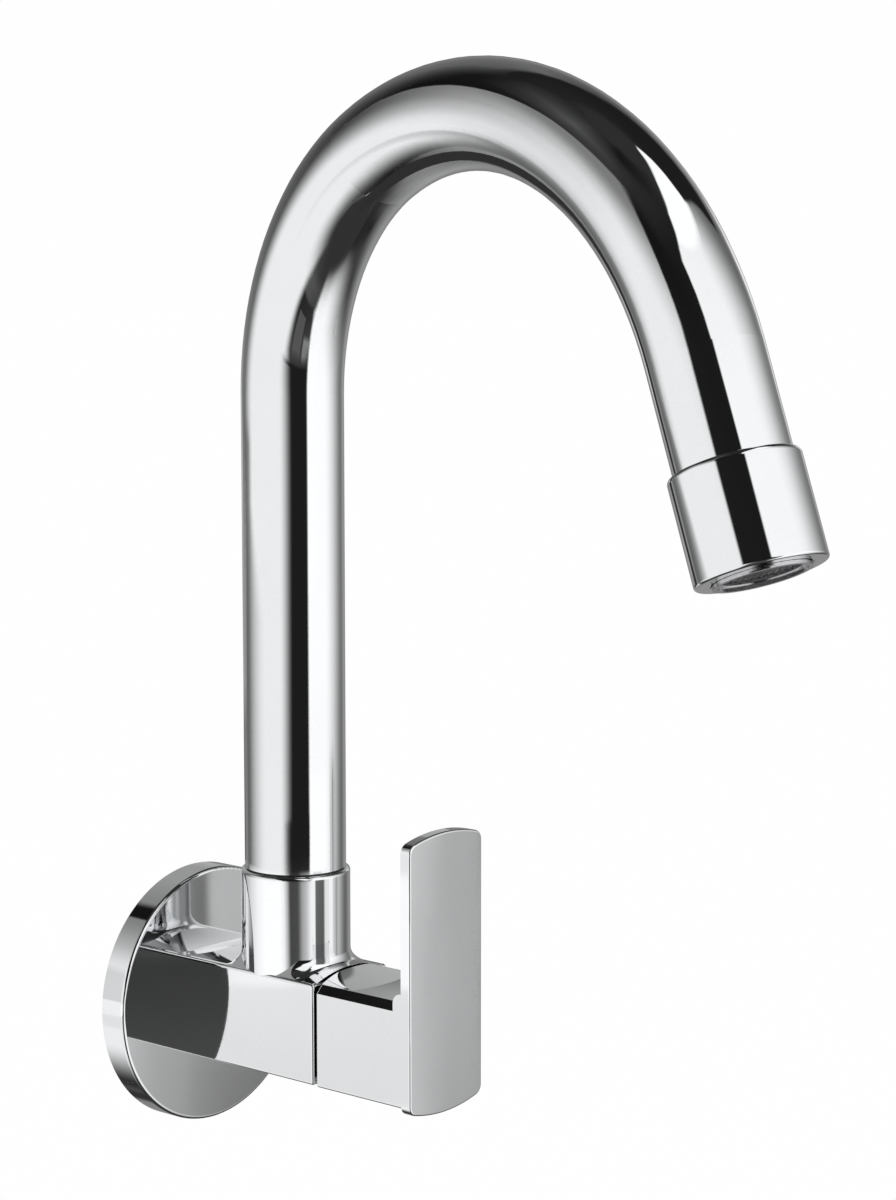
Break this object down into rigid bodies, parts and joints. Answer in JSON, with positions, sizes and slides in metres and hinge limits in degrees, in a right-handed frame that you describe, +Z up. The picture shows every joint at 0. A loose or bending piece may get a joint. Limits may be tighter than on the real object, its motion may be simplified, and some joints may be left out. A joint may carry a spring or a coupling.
{
  "type": "swivel spout sink tap",
  "caption": "Wall mounted single tap with a square valve body, a swan neck spout that swivels, a quarter turn L shaped lever and an aerator at the outlet.",
  "frame": {"origin": "on the inlet's axis, at the wall plane that the flange's rim stands on", "axes": "+Y into the wall along the inlet, -Y out towards the user, +Z up along the spout's swivel axis, +X to the user's right"},
  "size_m": [0.0804, 0.2222, 0.2632],
  "materials": {
    "chrome_plate": "mirror polished chrome plate over brass",
    "bare_brass": "machined brass",
    "steel": "stainless steel, bright",
    "seal_rubber": "smooth black rubber",
    "ceramic": "lapped white ceramic",
    "dark_plastic": "matt black plastic",
    "white_plastic": "satin white plastic",
    "chromed_plastic": "chromed plastic"
  },
  "bodies": {
    "tap_body": {"wall_flange": "chrome_plate", "flange_washer": "seal_rubber", "inlet_shank": "bare_brass", "valve_body": "chrome_plate", "bonnet": "bare_brass", "bonnet_ring": "seal_rubber", "seat_seal": "seal_rubber", "fixed_disc": "ceramic", "thrust_washer": "white_plastic", "spout_slip_ring": "dark_plastic", "spout_screw": "steel"},
    "lever": {"lever_handle": "chrome_plate", "lever_screw": "steel", "lever_plug": "chromed_plastic", "spline_adapter": "dark_plastic", "spindle": "bare_brass", "spindle_ring_inner": "seal_rubber", "spindle_ring_outer": "seal_rubber", "spindle_clip": "steel", "moving_disc": "ceramic"},
    "spout": {"spout_tube": "chrome_plate", "spout_spigot": "bare_brass", "spigot_ring_lower": "seal_rubber", "spigot_ring_upper": "seal_rubber", "outlet_bush": "bare_brass", "aerator_shell": "chrome_plate", "aerator_washer": "seal_rubber", "aerator_cage": "chromed_plastic", "aerator_spreader": "white_plastic", "flow_core": "white_plastic", "aerator_screen": "steel"}
  },
  "joints": [
    {"name": "spout_swivel", "type": "hinge", "parent": "tap_body", "child": "spout", "pos_m": [0, -0.0355, 0], "axis": [0, 0, 1], "range_deg": [-78, 102]},
    {"name": "handle_turn", "type": "hinge", "parent": "tap_body", "child": "lever", "pos_m": [0, -0.0355, 0], "axis": [0, -1, 0], "range_deg": [0, 90]}
  ]
}
